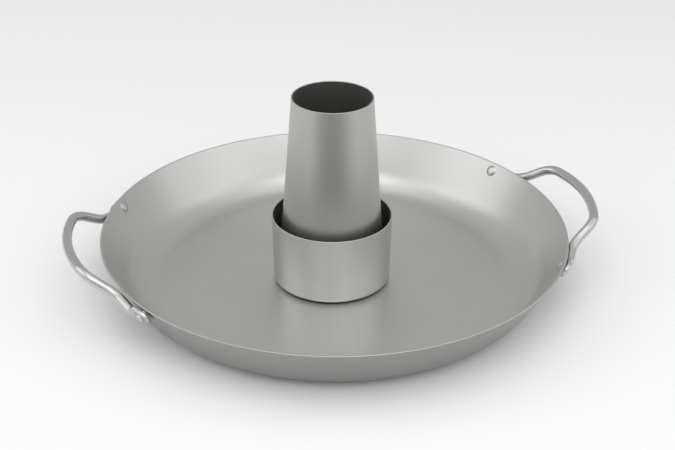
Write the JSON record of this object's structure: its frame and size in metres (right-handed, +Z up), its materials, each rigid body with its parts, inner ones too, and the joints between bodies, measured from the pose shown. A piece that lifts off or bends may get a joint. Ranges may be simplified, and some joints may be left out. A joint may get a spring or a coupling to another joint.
{
  "type": "poultry roasting pan",
  "caption": "Wide shallow round steel pan with bent tube handles riveted to its flared wall, a loose upright cup in the middle and a loose hollow cone standing in the cup.",
  "frame": {"origin": "centre of the pan's flat underside, on the surface that it stands on", "axes": "+Z up; +X from the pan's centre through the middle of the right handle; +Y follows by the right hand"},
  "size_m": [0.4146, 0.36, 0.1536],
  "materials": {
    "pan_steel": "satin, faintly brushed round the pan",
    "handle_steel": "polished",
    "rivet_steel": "smooth, semi-bright",
    "cup_steel": "satin, with soft upright reflections",
    "cone_steel": "satin, darker inside"
  },
  "bodies": {
    "pan": {"pan_shell": "pan_steel", "handle_right": "handle_steel", "handle_left": "handle_steel", "rivet_right_front": "rivet_steel", "rivet_right_back": "rivet_steel", "rivet_left_back": "rivet_steel", "rivet_left_front": "rivet_steel"},
    "cup": {"cup": "cup_steel"},
    "cone": {"cone": "cone_steel"}
  },
  "joints": [
    {"name": "cup_lift", "type": "slide", "parent": "pan", "child": "cup", "axis": [0, 0, 1], "range_m": [0, 0.06]},
    {"name": "cone_lift", "type": "slide", "parent": "cup", "child": "cone", "axis": [0, 0, 1], "range_m": [0, 0.07]}
  ]
}
